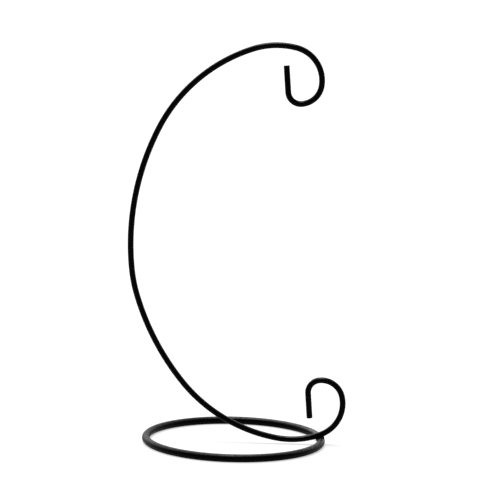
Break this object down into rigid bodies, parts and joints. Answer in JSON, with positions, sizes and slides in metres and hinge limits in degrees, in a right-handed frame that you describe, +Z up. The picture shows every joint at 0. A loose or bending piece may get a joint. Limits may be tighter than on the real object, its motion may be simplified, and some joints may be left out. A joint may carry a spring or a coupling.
{
  "type": "ornament display stand",
  "caption": "Wire stand for a hanging ornament: a bent wire rises in a tall C from a flat ring base, with a hook at the top and a matching curl at the foot.",
  "frame": {"origin": "centre of the base ring, on the surface that the stand rests on", "axes": "+Z up; the hanger stands in the XZ plane; +X from the ring's centre to the weld that holds the hanger, which is also the side that the hook and the curl face"},
  "size_m": [0.126, 0.1044, 0.2288],
  "materials": {
    "black_coat": "satin black powder coat on mild steel wire"
  },
  "bodies": {
    "root": {"hanger_wire": "black_coat", "base_ring": "black_coat", "ring_butt_weld": "black_coat", "weld_bead_inner": "black_coat", "weld_bead_outer": "black_coat"}
  },
  "joints": []
}
